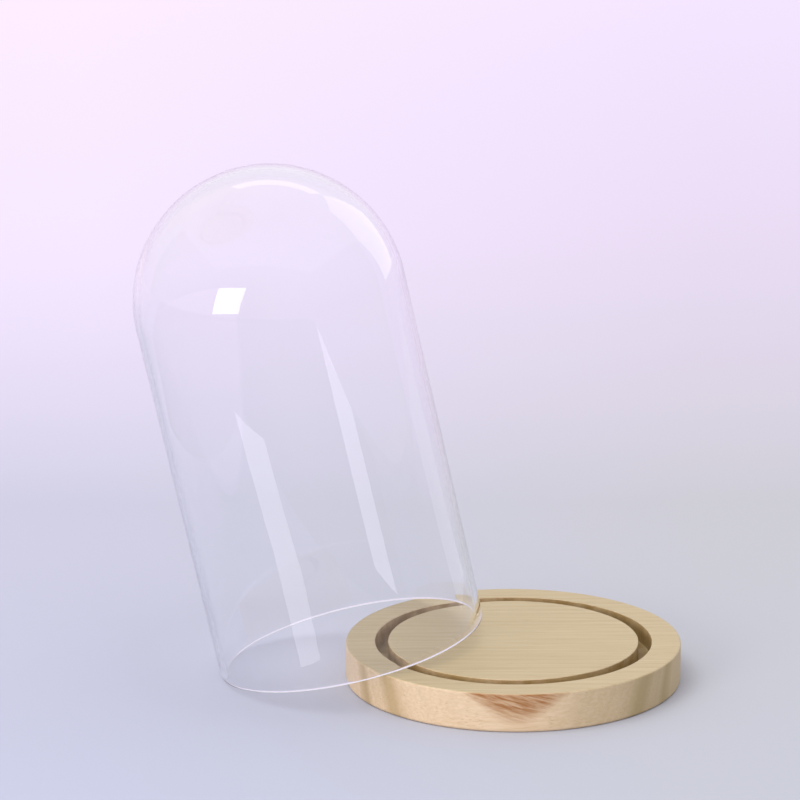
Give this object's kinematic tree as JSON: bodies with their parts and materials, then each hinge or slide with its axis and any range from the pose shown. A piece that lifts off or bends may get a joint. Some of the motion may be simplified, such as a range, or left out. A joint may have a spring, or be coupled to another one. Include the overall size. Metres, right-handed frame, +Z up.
{
  "type": "bell jar with turned wooden base",
  "caption": "Clear glass bell jar, open below, leant against its round pine base, which has a turned groove for the rim and a flat display platform.",
  "frame": {"origin": "centre of the wooden base's underside, on the table", "axes": "+Z up; the dome leans along -X, in the XZ plane, and +Y is level, at right angles to the lean"},
  "size_m": [0.2432, 0.15, 0.231],
  "materials": {
    "pine": "bare turned pine, fine straight grain, matt to satin",
    "glass": "clear blown glass with a fire-polished rim"
  },
  "bodies": {
    "base": {"wooden_base": "pine"},
    "dome": {"glass_dome": "glass"}
  },
  "joints": [
    {"name": "dome_lift", "type": "slide", "parent": "base", "child": "dome", "axis": [-0.2164, 0, 0.9763], "range_m": [0, 0.23]}
  ]
}
